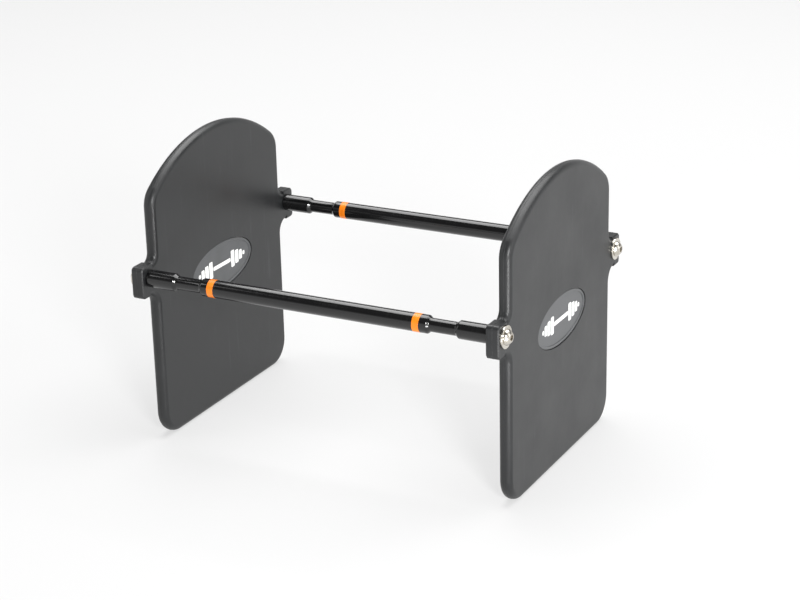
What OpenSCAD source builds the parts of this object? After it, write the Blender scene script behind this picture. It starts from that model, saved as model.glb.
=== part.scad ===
// One weight of a nesting adjustable dumbbell: two domed steel end plates with moulded covers,
// joined by two turned rails. Each rail is bolted to an ear on the plates' sides.
// +X runs along the rails, +Z is up, and the origin is on the floor at the weight's centre.

/* [End plates] */
// Height of an end plate
plate_h = 216; // [190:1:270]
// Width of an end plate without its ears
plate_w = 172.8; // [140:0.4:210]
// Thickness of an end plate over its cover
plate_t = 9.5; // [8:0.1:14]
// Thickness of the cover on each face of the steel core
cover_t = 1.25; // [0.9:0.05:2]
// Distance from the cover's edge in to the core's edge
core_inset = 2.5; // [1.8:0.1:4]
// Radius of the rounding along the cover's edge
edge_r = 4; // [2:0.1:4.5]
// Radius of the domed top
dome_r = 133; // [110:1:220]
// Radius between the dome and the sides
shoulder_r = 17.5; // [10:0.5:30]
// Radius of the bottom corners
corner_r = 19; // [10:0.5:30]

/* [Ears] */
// Distance from the plate's side to the ear's end
ear_out = 18.3; // [17:0.1:24]
// Height of the ear above the rail's axis
ear_above = 9.6; // [9:0.1:16]
// Depth of the ear below the rail's axis
ear_below = 13.8; // [12:0.1:20]
// Radius of the hollow corner above the ear
ear_top_fillet = 5.5; // [2:0.1:8]
// Radius of the hollow corner below the ear
ear_bottom_fillet = 9; // [6:0.1:9.5]
// Radius of the ear's outer corners
ear_corner_r = 3; // [0.5:0.1:4]
// Bevel along the ear's edges
ear_bevel = 0.8; // [0.3:0.1:1.2]

/* [Rails] */
// Length of a rail, which is the gap between the plates
rail_len = 266; // [200:1:340]
// Diameter of a rail
rail_d = 12.7; // [11:0.1:16]
// Height of the rails' axes above the floor
rail_z = 128; // [90:1:140]
// Distance from the plate's side to the rail's axis
rail_out = 8.8; // [8.4:0.1:10]
// Diameter of the necks near the rail's ends
neck_d = 9.5; // [8:0.1:10.5]
// Length of a neck between its shoulders
neck_len = 19.2; // [10:0.1:30]
// Length of the full-diameter end that stands against the plate
collar_len = 22.2; // [20:0.1:32]
// Length of a sloping shoulder at either end of a neck
slope_len = 2; // [1:0.1:4]
// Radius of the shoulders' edges
slope_r = 1.5; // [0.2:0.1:1.6]

/* [Colour bands] */
// Width of a colour band
band_w = 5; // [3:0.1:12]
// Distance from the shoulder to the band
band_gap = 5.2; // [2:0.1:20]
// Thickness of a band
band_t = 0.4; // [0.2:0.05:0.8]
// Height of the band above the rail
band_proud = 0.08; // [0:0.02:0.2]

/* [Fasteners] */
// Diameter of the screw's shank
screw_d = 6.3; // [5:0.1:7]
// Length of the screw under its head
screw_len = 25.4; // [20:0.1:30]
// Diameter of the button head
head_d = 11.1; // [10:0.1:14]
// Height of the button head
head_h = 3.35; // [2.6:0.05:4.5]
// Width across the flats of the hex socket
socket_af = 3.97; // [3:0.01:5]
// Depth of the hex socket
socket_depth = 2.1; // [1.2:0.1:2.4]
// Outer diameter of the washer
washer_d = 15.9; // [14:0.1:17]
// Thickness of the washer
washer_t = 1.6; // [1:0.1:2.5]
// Radial clearance of the screw in the washer and the plate
screw_gap = 0.3; // [0.15:0.05:0.6]
// Radial clearance between the screw's shank and the rail's tapped hole
thread_gap = 0.05; // [0.02:0.01:0.15]
// Depth of the tapped hole past the screw's tip
tip_room = 4; // [1:0.5:6]

/* [Badges] */
// Length of the oval badge
badge_len = 82.5; // [40:0.5:110]
// Height of the oval badge
badge_h = 36; // [26:0.5:50]
// Height of the badge's centre above the floor
badge_z = 107; // [80:1:130]
// Width of the badge's raised rim
badge_rim_w = 2; // [1:0.1:4]
// Thickness of the badge at its rim
badge_rim_t = 0.7; // [0.4:0.05:0.85]
// Thickness of the badge inside its rim
badge_face_t = 0.3; // [0.2:0.05:0.4]

/* [Hidden] */
$fn = 96;

LEFT = -1;
RIGHT = 1;
FRONT = -1;
REAR = 1;
BLACK = [0.08, 0.08, 0.09];

half_w = plate_w / 2;
mid_x = (rail_len + plate_t) / 2;
outer_x = rail_len / 2 + plate_t;
core_t = plate_t - 2 * cover_t;
// The rounding leaves at least a 0.5 mm flat half-width along the plate's edge.
rim_r = min(edge_r, plate_t / 2 - 0.5);
// How far a swept edge reaches in past its rounding, to join the flat slab.
lap = 1;
// Number of steps in a quarter turn of the plate's rounded edge, and round the badge's oval.
round_steps = 8;
oval_steps = 80;
// Cutters reach past the faces that they cut.
past = 1;

dome_z = plate_h - dome_r;
shoulder_y = half_w - shoulder_r;
shoulder_z = dome_z + sqrt(pow(dome_r - shoulder_r, 2) - pow(shoulder_y, 2));
shoulder_angle = atan2(shoulder_z - dome_z, shoulder_y);
corner_y = half_w - corner_r;

rail_y = half_w + rail_out;
ear_end = half_w + ear_out;
ear_top = rail_z + ear_above;
ear_bottom = rail_z - ear_below;

rail_r = rail_d / 2;
neck_r = neck_d / 2;
neck_end_x = rail_len / 2 - collar_len - slope_len;
body_end_x = neck_end_x - neck_len - slope_len;
band_x = body_end_x - band_gap - band_w / 2;
groove_r = rail_r + band_proud - band_t;

hole_r = screw_d / 2 + screw_gap;
tapped_r = screw_d / 2 + thread_gap;
tapped_depth = screw_len - plate_t - washer_t + tip_room;
// Bevel at the screw's tip.
tip_bevel = 1;
// The dome of the head is a sphere through its lower edge and the rim of its flat top,
// which stands clear of the socket's corners.
head_edge_h = 0.4;
socket_r = socket_af / 2 / cos(30);
head_flat_r = socket_r + 0.8;
head_ball_z = (pow(head_flat_r, 2) + pow(head_h, 2) - pow(head_d / 2, 2) - pow(head_edge_h, 2))
    / (2 * (head_h - head_edge_h));
head_ball_r = norm([head_flat_r, head_h - head_ball_z]);

function unit(v) = v / norm(v);

// Points of an arc of radius r that rounds the corner p between the points a and b.
function rounded_corner(a, p, b, r, steps = 6) =
    let (
        u = unit(a - p),
        v = unit(b - p),
        half = acos(u * v) / 2,
        centre = p + unit(u + v) * r / sin(half),
        first = p + u * r / tan(half) - centre,
        last = p + v * r / tan(half) - centre,
        start = atan2(first.y, first.x),
        turn = (atan2(last.y, last.x) - start + 540) % 360 - 180
    )
    [for (i = [0 : steps]) centre + r * [cos(start + turn * i / steps), sin(start + turn * i / steps)]];

// Outlines lie in the XY plane, with X across the plate and Y up it.

module plate_outline(inset = 0) {
    top_y = shoulder_y * (dome_r - inset) / (dome_r - shoulder_r);
    intersection() {
        translate([0, dome_z]) circle(r = dome_r - inset);
        translate([-top_y, shoulder_z]) square([2 * top_y, plate_h]);
    }
    translate([inset - half_w, corner_r]) square([2 * (half_w - inset), shoulder_z - corner_r]);
    translate([-corner_y, inset]) square([2 * corner_y, corner_r]);
    for (side = [-1, 1]) {
        translate([side * shoulder_y, shoulder_z]) circle(r = shoulder_r - inset);
        translate([side * corner_y, corner_r]) circle(r = corner_r - inset);
    }
}

module ear_block_outline(inset = 0) {
    r = max(ear_corner_r - inset, 0.3);
    left = half_w - inset - rim_r - lap;
    right = ear_end - inset;
    low = ear_bottom + inset;
    high = ear_top - inset;
    translate([left, low]) square([right - r - left, high - low]);
    translate([left, low + r]) square([right - left, high - low - 2 * r]);
    for (y = [low + r, high - r]) translate([right - r, y]) circle(r = r);
}

module oval(length, height) {
    polygon([
        for (i = [0 : oval_steps - 1])
            let (a = 360 * i / oval_steps) [length / 2 * cos(a), height / 2 * sin(a)]
    ]);
}

// Section of the plate's edge: X is outwards with the edge at 0, and Y is the plate's thickness.
module edge_section(depth) {
    round = [
        for (i = [0 : round_steps])
            let (a = 90 * i / round_steps)
                [rim_r * (cos(a) - 1), plate_t / 2 - rim_r + rim_r * sin(a)]
    ];
    polygon(concat(
        round,
        [[-depth, plate_t / 2], [-depth, -plate_t / 2]],
        [for (i = [round_steps : -1 : 0]) [round[i].x, -round[i].y]]
    ));
}

module edge_arc(centre, radius, from, to) {
    translate(centre)
        rotate([0, 0, from])
            rotate_extrude(angle = to - from)
                translate([radius, 0]) edge_section(rim_r + lap);
}

module edge_line(start, length, direction) {
    translate(start)
        rotate([0, 0, direction])
            rotate([90, 0, 90])
                linear_extrude(length) mirror([1, 0]) edge_section(rim_r + lap);
}

// The plate's rounding follows the hollow corner above (up = 1) or below (up = -1) the ear, and
// stops at the ear's top or underside. It reaches in past the corner where the plate's flat slab
// meets what is left of the ear's block.
module hollow_edge(level, r, up) {
    reach = sqrt(2) * (r + rim_r) - r + lap;
    translate([half_w + r, level + up * r])
        rotate([0, 0, up > 0 ? 180 : 90])
            rotate_extrude(angle = 90)
                translate([r, 0]) mirror([1, 0]) edge_section(reach);
}

module rounded_plate() {
    linear_extrude(plate_t, center = true) plate_outline(rim_r);
    edge_line([-corner_y, 0, 0], 2 * corner_y, 0);
    edge_arc([0, dome_z], dome_r, shoulder_angle, 180 - shoulder_angle);
    for (side = [0, 1]) mirror([side, 0, 0]) {
        edge_arc([corner_y, corner_r], corner_r, -90, 0);
        edge_line([half_w, corner_r, 0], shoulder_z - corner_r, 90);
        edge_arc([shoulder_y, shoulder_z], shoulder_r, 0, shoulder_angle);
    }
}

// A rectangle from [0, -plate_t / 2] with both of its far corners bevelled.
module bevelled_end(length) {
    half_t = plate_t / 2;
    polygon([
        [0, -half_t], [length - ear_bevel, -half_t], [length, ear_bevel - half_t],
        [length, half_t - ear_bevel], [length - ear_bevel, half_t], [0, half_t]
    ]);
}

// A bar's section across its middle, with all four of its corners bevelled.
module bevelled_bar(length) {
    half_t = plate_t / 2;
    half = length / 2;
    polygon([
        [ear_bevel - half, -half_t], [half - ear_bevel, -half_t],
        [half, ear_bevel - half_t], [half, half_t - ear_bevel],
        [half - ear_bevel, half_t], [ear_bevel - half, half_t],
        [-half, half_t - ear_bevel], [-half, ear_bevel - half_t]
    ]);
}

// The ear's block has round outer corners, and one bevel runs along its top, its end, its underside
// and round both corners.
module ear_block() {
    r = max(ear_corner_r, ear_bevel + 0.3);
    base_y = half_w - rim_r - lap;
    height = ear_top - ear_bottom;
    translate([base_y, ear_top - r, 0])
        rotate([90, 0, 0]) linear_extrude(height - 2 * r) bevelled_end(ear_end - base_y);
    translate([base_y, ear_bottom + height / 2, 0])
        rotate([90, 0, 90]) linear_extrude(ear_end - r - base_y) bevelled_bar(height);
    for (y = [ear_bottom + r, ear_top - r]) translate([ear_end - r, y, 0])
        rotate_extrude() bevelled_end(r);
}

module ear() {
    // Beside the plate, the block gives way to the plate's rounding up to where a hollow corner ends.
    difference() {
        ear_block();
        translate([0, ear_bottom - past, -plate_t])
            cube([half_w + ear_bottom_fillet, rim_r + past, 2 * plate_t]);
        translate([0, ear_top - rim_r, -plate_t])
            cube([half_w + ear_top_fillet, rim_r + past, 2 * plate_t]);
    }
    hollow_edge(ear_bottom, ear_bottom_fillet, -1);
    hollow_edge(ear_top, ear_top_fillet, 1);
}

module core_outline() {
    plate_outline(core_inset);
    for (side = [0, 1]) mirror([side, 0]) ear_block_outline(core_inset);
}

module screw_holes() {
    for (side = [FRONT, REAR]) translate([side * rail_y, rail_z, -plate_t])
        cylinder(r = hole_r, h = 2 * plate_t);
}

module core_blank() {
    linear_extrude(core_t, center = true) core_outline();
}

// Stands a plate that was drawn flat upright at one end of the rails.
module at_end(end) {
    translate([end * mid_x, 0, 0]) rotate([90, 0, 90]) children();
}

module plate_core(end) {
    color("dimgray") at_end(end) difference() {
        core_blank();
        screw_holes();
    }
}

module plate_cover(end) {
    color(BLACK) at_end(end) difference() {
        union() {
            rounded_plate();
            for (side = [0, 1]) mirror([side, 0, 0]) ear();
        }
        core_blank();
        screw_holes();
        translate([0, badge_z, -plate_t])
            linear_extrude(2 * plate_t) oval(badge_len, badge_h);
    }
}

// The badge is bonded to the core in a window through the cover. Face 1 is the plate's +X face.
module badge(end, face) {
    trim = 2 * badge_rim_w;
    color([0.22, 0.22, 0.23])
        translate([end * mid_x + face * core_t / 2, 0, badge_z])
            rotate([90, 0, face * 90]) difference() {
                linear_extrude(badge_rim_t) oval(badge_len, badge_h);
                translate([0, 0, badge_face_t])
                    linear_extrude(badge_rim_t) oval(badge_len - trim, badge_h - trim);
            }
}

// Half of a rail's section as [radius, distance from the middle], from the middle outwards.
function rail_half() =
    let (
        a = [rail_r, 0],
        b = [rail_r, body_end_x],
        c = [neck_r, body_end_x + slope_len],
        d = [neck_r, neck_end_x],
        e = [rail_r, neck_end_x + slope_len],
        f = [rail_r, rail_len / 2 - ear_bevel],
        g = [rail_r - ear_bevel, rail_len / 2]
    )
    concat(
        rounded_corner(a, b, c, slope_r),
        rounded_corner(b, c, d, slope_r),
        rounded_corner(c, d, e, slope_r),
        rounded_corner(d, e, f, slope_r),
        [f, g, [0, rail_len / 2]]
    );

module rail(side) {
    half = rail_half();
    count = len(half);
    section = concat(half, [for (i = [count - 1 : -1 : 0]) [half[i].x, -half[i].y]]);
    color(BLACK) translate([0, side * rail_y, rail_z]) rotate([0, 90, 0]) difference() {
        rotate_extrude() polygon(section);
        for (end = [0, 1]) mirror([0, 0, end]) {
            translate([0, 0, rail_len / 2 - tapped_depth])
                cylinder(r = tapped_r, h = tapped_depth + past);
            translate([0, 0, rail_len / 2 - tapped_depth - tapped_r / 2])
                cylinder(r1 = 0, r2 = tapped_r, h = tapped_r / 2);
            translate([0, 0, band_x]) band_ring(groove_r, rail_r + past);
        }
    }
}

module band_ring(inner_r, outer_r) {
    linear_extrude(band_w, center = true) difference() {
        circle(r = outer_r);
        circle(r = inner_r);
    }
}

module band(side, end) {
    color("darkorange") translate([end * band_x, side * rail_y, rail_z])
        rotate([0, 90, 0]) band_ring(groove_r, rail_r + band_proud);
}

// Turns a fastener that was drawn along +Z to point out of the plate at one end of a rail.
module at_ear(side, end, stand_off) {
    translate([end * (outer_x + stand_off), side * rail_y, rail_z])
        rotate([0, end * 90, 0]) children();
}

// A stamped washer: its outer edges are slightly rounded.
module washer(side, end) {
    inner = [[hole_r, 0], [hole_r, washer_t]];
    outer = [[washer_d / 2, 0], [washer_d / 2, washer_t]];
    edge_round = washer_t / 6;
    color("silver") at_ear(side, end, 0) rotate_extrude() polygon(concat(
        [inner[0]],
        rounded_corner(inner[0], outer[0], outer[1], edge_round),
        rounded_corner(outer[0], outer[1], inner[1], edge_round),
        [inner[1]]
    ));
}

module screw(side, end) {
    color("silver") at_ear(side, end, washer_t) difference() {
        union() {
            intersection() {
                cylinder(d = head_d, h = head_h);
                translate([0, 0, head_ball_z]) sphere(r = head_ball_r);
            }
            translate([0, 0, tip_bevel - screw_len])
                cylinder(d = screw_d, h = screw_len - tip_bevel + head_edge_h);
            translate([0, 0, -screw_len])
                cylinder(d1 = screw_d - 2 * tip_bevel, d2 = screw_d, h = tip_bevel);
        }
        translate([0, 0, head_h - socket_depth])
            cylinder(r = socket_r, h = socket_depth + past, $fn = 6);
    }
}

plate_core(LEFT);  // left_plate_core
plate_cover(LEFT);  // left_plate_cover
plate_core(RIGHT);  // right_plate_core
plate_cover(RIGHT);  // right_plate_cover
badge(LEFT, -1);  // left_outer_badge
badge(LEFT, 1);  // left_inner_badge
badge(RIGHT, 1);  // right_outer_badge
badge(RIGHT, -1);  // right_inner_badge
rail(FRONT);  // front_rail
rail(REAR);  // rear_rail
band(FRONT, LEFT);  // front_left_band
band(FRONT, RIGHT);  // front_right_band
band(REAR, LEFT);  // rear_left_band
band(REAR, RIGHT);  // rear_right_band
washer(FRONT, LEFT);  // front_left_washer
washer(FRONT, RIGHT);  // front_right_washer
washer(REAR, LEFT);  // rear_left_washer
washer(REAR, RIGHT);  // rear_right_washer
screw(FRONT, LEFT);  // front_left_screw
screw(FRONT, RIGHT);  // front_right_screw
screw(REAR, LEFT);  // rear_left_screw
screw(REAR, RIGHT);  // rear_right_screw
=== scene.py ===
"""Dresses one weight of a nesting adjustable dumbbell.

Two domed end plates with moulded covers carry oval badges, and two gloss rails join
the plates' ears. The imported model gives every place; this script adds the finishes,
the fine shapes and the studio.
"""

from __future__ import annotations

import logging
import math
from collections.abc import Callable
from dataclasses import dataclass, field, replace
from enum import Enum

import bmesh
import bpy
from mathutils import Matrix, Vector


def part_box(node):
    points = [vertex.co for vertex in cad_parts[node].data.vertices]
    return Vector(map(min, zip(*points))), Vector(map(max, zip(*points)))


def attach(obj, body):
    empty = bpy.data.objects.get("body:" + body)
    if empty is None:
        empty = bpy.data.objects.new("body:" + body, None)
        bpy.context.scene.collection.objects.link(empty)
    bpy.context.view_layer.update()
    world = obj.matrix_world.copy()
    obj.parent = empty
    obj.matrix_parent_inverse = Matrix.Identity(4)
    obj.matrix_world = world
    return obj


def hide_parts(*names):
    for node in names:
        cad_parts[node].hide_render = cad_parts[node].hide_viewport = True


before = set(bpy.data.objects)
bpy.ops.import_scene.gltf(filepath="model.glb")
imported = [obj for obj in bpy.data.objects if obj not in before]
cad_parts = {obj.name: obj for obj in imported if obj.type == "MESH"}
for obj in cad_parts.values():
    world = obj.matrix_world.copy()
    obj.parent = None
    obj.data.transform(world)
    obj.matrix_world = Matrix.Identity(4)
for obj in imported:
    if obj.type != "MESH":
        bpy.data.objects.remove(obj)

LOG = logging.getLogger("dumbbell")
MM = 0.001
BODY = "root"
MERGE_DISTANCE = 1e-6
WELD_DISTANCE = 0.04 * MM
SHARP_ANGLE = 30.0

Pair = tuple[float, float]
Triple = tuple[float, float, float]
Value = bpy.types.NodeSocket | float | int | bool | Triple | tuple[float, float, float, float] | str


class End(Enum):
    """The end of the rails that a piece stands at, as the sign of X."""

    LEFT = -1
    RIGHT = 1

    @property
    def word(self) -> str:
        """The end's name, as the nodes spell it."""
        return self.name.lower()


class Side(Enum):
    """The side of the weight that a piece is on, as the sign of Y."""

    FRONT = -1
    REAR = 1

    @property
    def word(self) -> str:
        """The side's name, as the nodes spell it."""
        return self.name.lower()


class Face(Enum):
    """Which of a plate's two faces a badge sits in."""

    INNER = "inner"
    OUTER = "outer"


# ---------------------------------------------------------------- small tools


def linear(colour: str) -> tuple[float, float, float, float]:
    """Turns an sRGB hex colour to linear values.

    Args:
        colour: Six hex digits with a leading #.

    Returns:
        The linear colour with an alpha of 1.
    """
    parts = [int(colour[i : i + 2], 16) / 255 for i in (1, 3, 5)]
    values = [p / 12.92 if p <= 0.04045 else ((p + 0.055) / 1.055) ** 2.4 for p in parts]
    return (*values, 1.0)


def per_metre(size_mm: float) -> float:
    """Gives the texture scale at which one feature is size_mm across."""
    return 1 / (size_mm * MM)


def fill_inputs(tree: bpy.types.NodeTree, node: bpy.types.Node, **values: Value) -> None:
    """Fills a node's inputs.

    Args:
        tree: The node's tree.
        node: The node.
        **values: Inputs by name, with _ for a space, or by number as i0, i1 and so on. A socket is
            linked and anything else is the input's value.
    """
    for name, value in values.items():
        key = int(name[1:]) if name[0] == "i" and name[1:].isdigit() else name.replace("_", " ")
        if isinstance(value, bpy.types.NodeSocket):
            tree.links.new(value, node.inputs[key])
        else:
            node.inputs[key].default_value = value


def add_node(
    tree: bpy.types.NodeTree, kind: str, settings: dict[str, str] | None = None, **values: Value
) -> bpy.types.Node:
    """Adds a node.

    Args:
        tree: The tree that gets the node.
        kind: The node's type name.
        settings: Values for the node's own properties.
        **values: Its inputs, as fill_inputs takes them.

    Returns:
        The new node.
    """
    node = tree.nodes.new(kind)
    for name, value in (settings or {}).items():
        setattr(node, name, value)
    fill_inputs(tree, node, **values)
    return node


def set_input(modifier: bpy.types.NodesModifier, name: str, value: object) -> None:
    """Sets a Geometry Nodes modifier's input by its socket's identifier.

    Args:
        modifier: The modifier.
        name: The input's name in the tree.
        value: The value to give it.
    """
    for item in modifier.node_group.interface.items_tree:
        if item.item_type == "SOCKET" and item.in_out == "INPUT" and item.name == name:
            modifier[item.identifier] = value
            return
    raise KeyError(f"{modifier.node_group.name} has no input named {name}")


def link_object(mesh: bpy.types.Mesh, name: str) -> bpy.types.Object:
    """Puts a mesh in the scene as an object at the origin.

    Args:
        mesh: The mesh, already in its place.
        name: The object's name.

    Returns:
        The new object.
    """
    piece = bpy.data.objects.new(name, mesh)
    bpy.context.scene.collection.objects.link(piece)
    return piece


def settle(piece: bpy.types.Object) -> bpy.types.Object:
    """Turns an object with modifiers into one with a plain mesh.

    Args:
        piece: The object, which is changed in place.

    Returns:
        The same object, with its modifiers removed.
    """
    graph = bpy.context.evaluated_depsgraph_get()
    old = piece.data
    piece.data = bpy.data.meshes.new_from_object(piece.evaluated_get(graph), depsgraph=graph)
    piece.data.name = piece.name
    piece.modifiers.clear()
    bpy.data.meshes.remove(old)
    return piece


def make_outward(piece: bpy.types.Object) -> None:
    """Turns every face of a closed mesh outwards.

    Args:
        piece: The object whose mesh is changed.
    """
    shape = bmesh.new()
    shape.from_mesh(piece.data)
    bmesh.ops.recalc_face_normals(shape, faces=shape.faces)
    shape.to_mesh(piece.data)
    shape.free()


def grow_by_tree(
    tree: bpy.types.NodeTree, name: str, seed_mesh: bpy.types.Mesh, **inputs: object
) -> bpy.types.Object:
    """Runs a Geometry Nodes tree on a small mesh and keeps the result as a plain mesh.

    Args:
        tree: The Geometry Nodes tree.
        name: The finished piece's name.
        seed_mesh: The mesh that the tree starts from.
        **inputs: The tree's inputs by name, with _ for a space.

    Returns:
        The finished piece.
    """
    piece = link_object(seed_mesh, name)
    modifier = piece.modifiers.new("shape", "NODES")
    modifier.node_group = tree
    for key, value in inputs.items():
        set_input(modifier, key.replace("_", " "), value)
    return settle(piece)


def polyline(name: str, points: list[Triple], closed: bool = False) -> bpy.types.Mesh:
    """Makes a mesh of edges through the points.

    Args:
        name: The mesh's name.
        points: The points in metres.
        closed: Whether an edge joins the last point to the first.

    Returns:
        The mesh, which has no faces.
    """
    edges = [(i, i + 1) for i in range(len(points) - 1)]
    if closed:
        edges.append((len(points) - 1, 0))
    mesh = bpy.data.meshes.new(name)
    mesh.from_pydata(points, edges, [])
    return mesh


def arc(centre: Pair, radius: float, start: float, end: float, steps: int) -> list[Pair]:
    """Gives points along an arc.

    Args:
        centre: The arc's centre.
        radius: The arc's radius.
        start: The angle of the first point, in degrees.
        end: The angle of the last point, in degrees.
        steps: How many steps the arc has.

    Returns:
        The points, one more than the steps.
    """
    points = []
    for i in range(steps + 1):
        angle = math.radians(start + (end - start) * i / steps)
        points.append((centre[0] + radius * math.cos(angle), centre[1] + radius * math.sin(angle)))
    return points


def round_corner(
    before: Pair, corner: Pair, after: Pair, radius: float, steps: int = 5
) -> list[Pair]:
    """Rounds the corner of an outline.

    Args:
        before: The point before the corner.
        corner: The sharp corner.
        after: The point after the corner.
        radius: The rounding's radius.
        steps: How many steps the rounding has.

    Returns:
        The points of the rounding, in order.
    """
    tip = Vector(corner)
    first = (Vector(before) - tip).normalized()
    last = (Vector(after) - tip).normalized()
    half = first.angle(last) / 2
    centre = tip + (first + last).normalized() * (radius / math.sin(half))
    start = tip + first * (radius / math.tan(half)) - centre
    end = tip + last * (radius / math.tan(half)) - centre
    turn = start.angle_signed(end)
    points = []
    for i in range(steps + 1):
        spoke = start.copy()
        spoke.rotate(Matrix.Rotation(-turn * i / steps, 2))
        points.append(tuple(centre + spoke))
    return points


def shade(shape: bmesh.types.BMesh, sharp_degrees: float) -> None:
    """Makes every face smooth, and every edge past the angle sharp.

    Args:
        shape: The mesh, which is changed in place.
        sharp_degrees: The angle between two faces from which their edge is sharp.
    """
    for face in shape.faces:
        face.smooth = True
    limit = math.radians(sharp_degrees)
    for edge in shape.edges:
        edge.smooth = edge.calc_face_angle(0) < limit


def weigh_normals(piece: bpy.types.Object) -> bpy.types.Object:
    """Turns the normals towards the large faces, so that flats stay flat.

    Args:
        piece: The object, which is changed in place.

    Returns:
        The same object.
    """
    normals = piece.modifiers.new("normals", "WEIGHTED_NORMAL")
    normals.keep_sharp = True
    normals.weight = 100
    return settle(piece)


def copy_node(
    node: bpy.types.Object, name: str, ease: Callable[[bmesh.types.BMesh], None] | None = None
) -> bpy.types.Object:
    """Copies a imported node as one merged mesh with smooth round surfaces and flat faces.

    Args:
        node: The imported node's object, which isn't changed.
        name: The copy's name.
        ease: A change to make to the merged mesh before it is shaded, if any.

    Returns:
        The copy, with no material.
    """
    mesh = node.data.copy()
    mesh.materials.clear()
    shape = bmesh.new()
    shape.from_mesh(mesh)
    bmesh.ops.remove_doubles(shape, verts=shape.verts, dist=WELD_DISTANCE)
    if ease:
        ease(shape)
    shade(shape, SHARP_ANGLE)
    shape.to_mesh(mesh)
    shape.free()
    return weigh_normals(link_object(mesh, name))


# ------------------------------------------------------------------- finishes


@dataclass(frozen=True)
class Finish:
    """A finish on one kind of surface. The subclasses add its pattern.

    Attributes:
        name: The material's name, after what the real one is.
        colour: The surface's colour, as sRGB hex.
        roughness: How much the surface blurs a reflection.
    """

    name: str
    colour: str
    roughness: float

    def material(self) -> bpy.types.Material:
        """Gives the finish's material, built the first time it is asked for.

        Returns:
            The material.
        """
        found = bpy.data.materials.get(self.name)
        if found:
            return found
        made = bpy.data.materials.new(self.name)
        made.use_nodes = True
        tree = made.node_tree
        tree.nodes.clear()
        shader = add_node(
            tree, "ShaderNodeBsdfPrincipled",
            Base_Color=linear(self.colour), Roughness=self.roughness,
        )
        add_node(tree, "ShaderNodeOutputMaterial", Surface=shader.outputs["BSDF"])
        self.pattern(tree, shader)
        return made

    def pattern(self, tree: bpy.types.NodeTree, shader: bpy.types.Node) -> None:
        """Adds the finish's pattern. A plain finish has none."""

    def place(self, tree: bpy.types.NodeTree, stretch: Triple = (1, 1, 1)) -> bpy.types.NodeSocket:
        """Gives the object's own coordinates in metres, stretched if asked.

        Args:
            tree: The material's tree.
            stretch: How many times finer a pattern becomes along each axis.

        Returns:
            The coordinates' socket.
        """
        spot = add_node(tree, "ShaderNodeTexCoord").outputs["Object"]
        if stretch == (1, 1, 1):
            return spot
        return add_node(tree, "ShaderNodeMapping", Vector=spot, Scale=stretch).outputs["Vector"]

    def noise(
        self, tree: bpy.types.NodeTree, spot: bpy.types.NodeSocket, size_mm: float,
        detail: float = 2.0,
    ) -> bpy.types.NodeSocket:
        """Gives a noise whose blotches are size_mm across.

        Args:
            tree: The material's tree.
            spot: The coordinates' socket.
            size_mm: How wide one blotch is, in millimetres.
            detail: How many finer layers the noise has.

        Returns:
            The noise's socket, from 0 to 1.
        """
        node = add_node(
            tree, "ShaderNodeTexNoise",
            Vector=spot, Scale=per_metre(size_mm), Detail=detail, Roughness=0.55,
        )
        return node.outputs["Fac"]

    def spread(
        self, tree: bpy.types.NodeTree, value: bpy.types.NodeSocket, low: float, high: float,
        start: float = 0.3, end: float = 0.7,
    ) -> bpy.types.NodeSocket:
        """Maps a noise from its usual span to a chosen one.

        Args:
            tree: The material's tree.
            value: The noise's socket.
            low: The result where the noise is at start.
            high: The result where the noise is at end.
            start: The noise's low value.
            end: The noise's high value.

        Returns:
            The mapped value's socket.
        """
        node = add_node(tree, "ShaderNodeMapRange", i0=value, i1=start, i2=end, i3=low, i4=high)
        return node.outputs["Result"]

    def blend(
        self, tree: bpy.types.NodeTree, share: bpy.types.NodeSocket, first: str, second: str
    ) -> bpy.types.NodeSocket:
        """Blends two sRGB colours by a share from 0 to 1.

        Args:
            tree: The material's tree.
            share: The socket that gives the second colour's share.
            first: The colour where the share is 0, as sRGB hex.
            second: The colour where the share is 1, as sRGB hex.

        Returns:
            The blended colour's socket.
        """
        node = add_node(
            tree, "ShaderNodeMix", {"data_type": "RGBA"},
            i0=share, i6=linear(first), i7=linear(second),
        )
        return node.outputs[2]

    def bump(
        self, tree: bpy.types.NodeTree, height: bpy.types.NodeSocket, depth_mm: float,
        under: bpy.types.NodeSocket | None = None,
    ) -> bpy.types.NodeSocket:
        """Turns a height into a bumped normal.

        Args:
            tree: The material's tree.
            height: The height's socket, from 0 to 1.
            depth_mm: How deep a height of 1 stands.
            under: A normal that this bump is laid on.

        Returns:
            The normal's socket.
        """
        node = add_node(tree, "ShaderNodeBump", Height=height, Distance=depth_mm * MM, Strength=1.0)
        if under:
            tree.links.new(under, node.inputs["Normal"])
        return node.outputs["Normal"]


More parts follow.
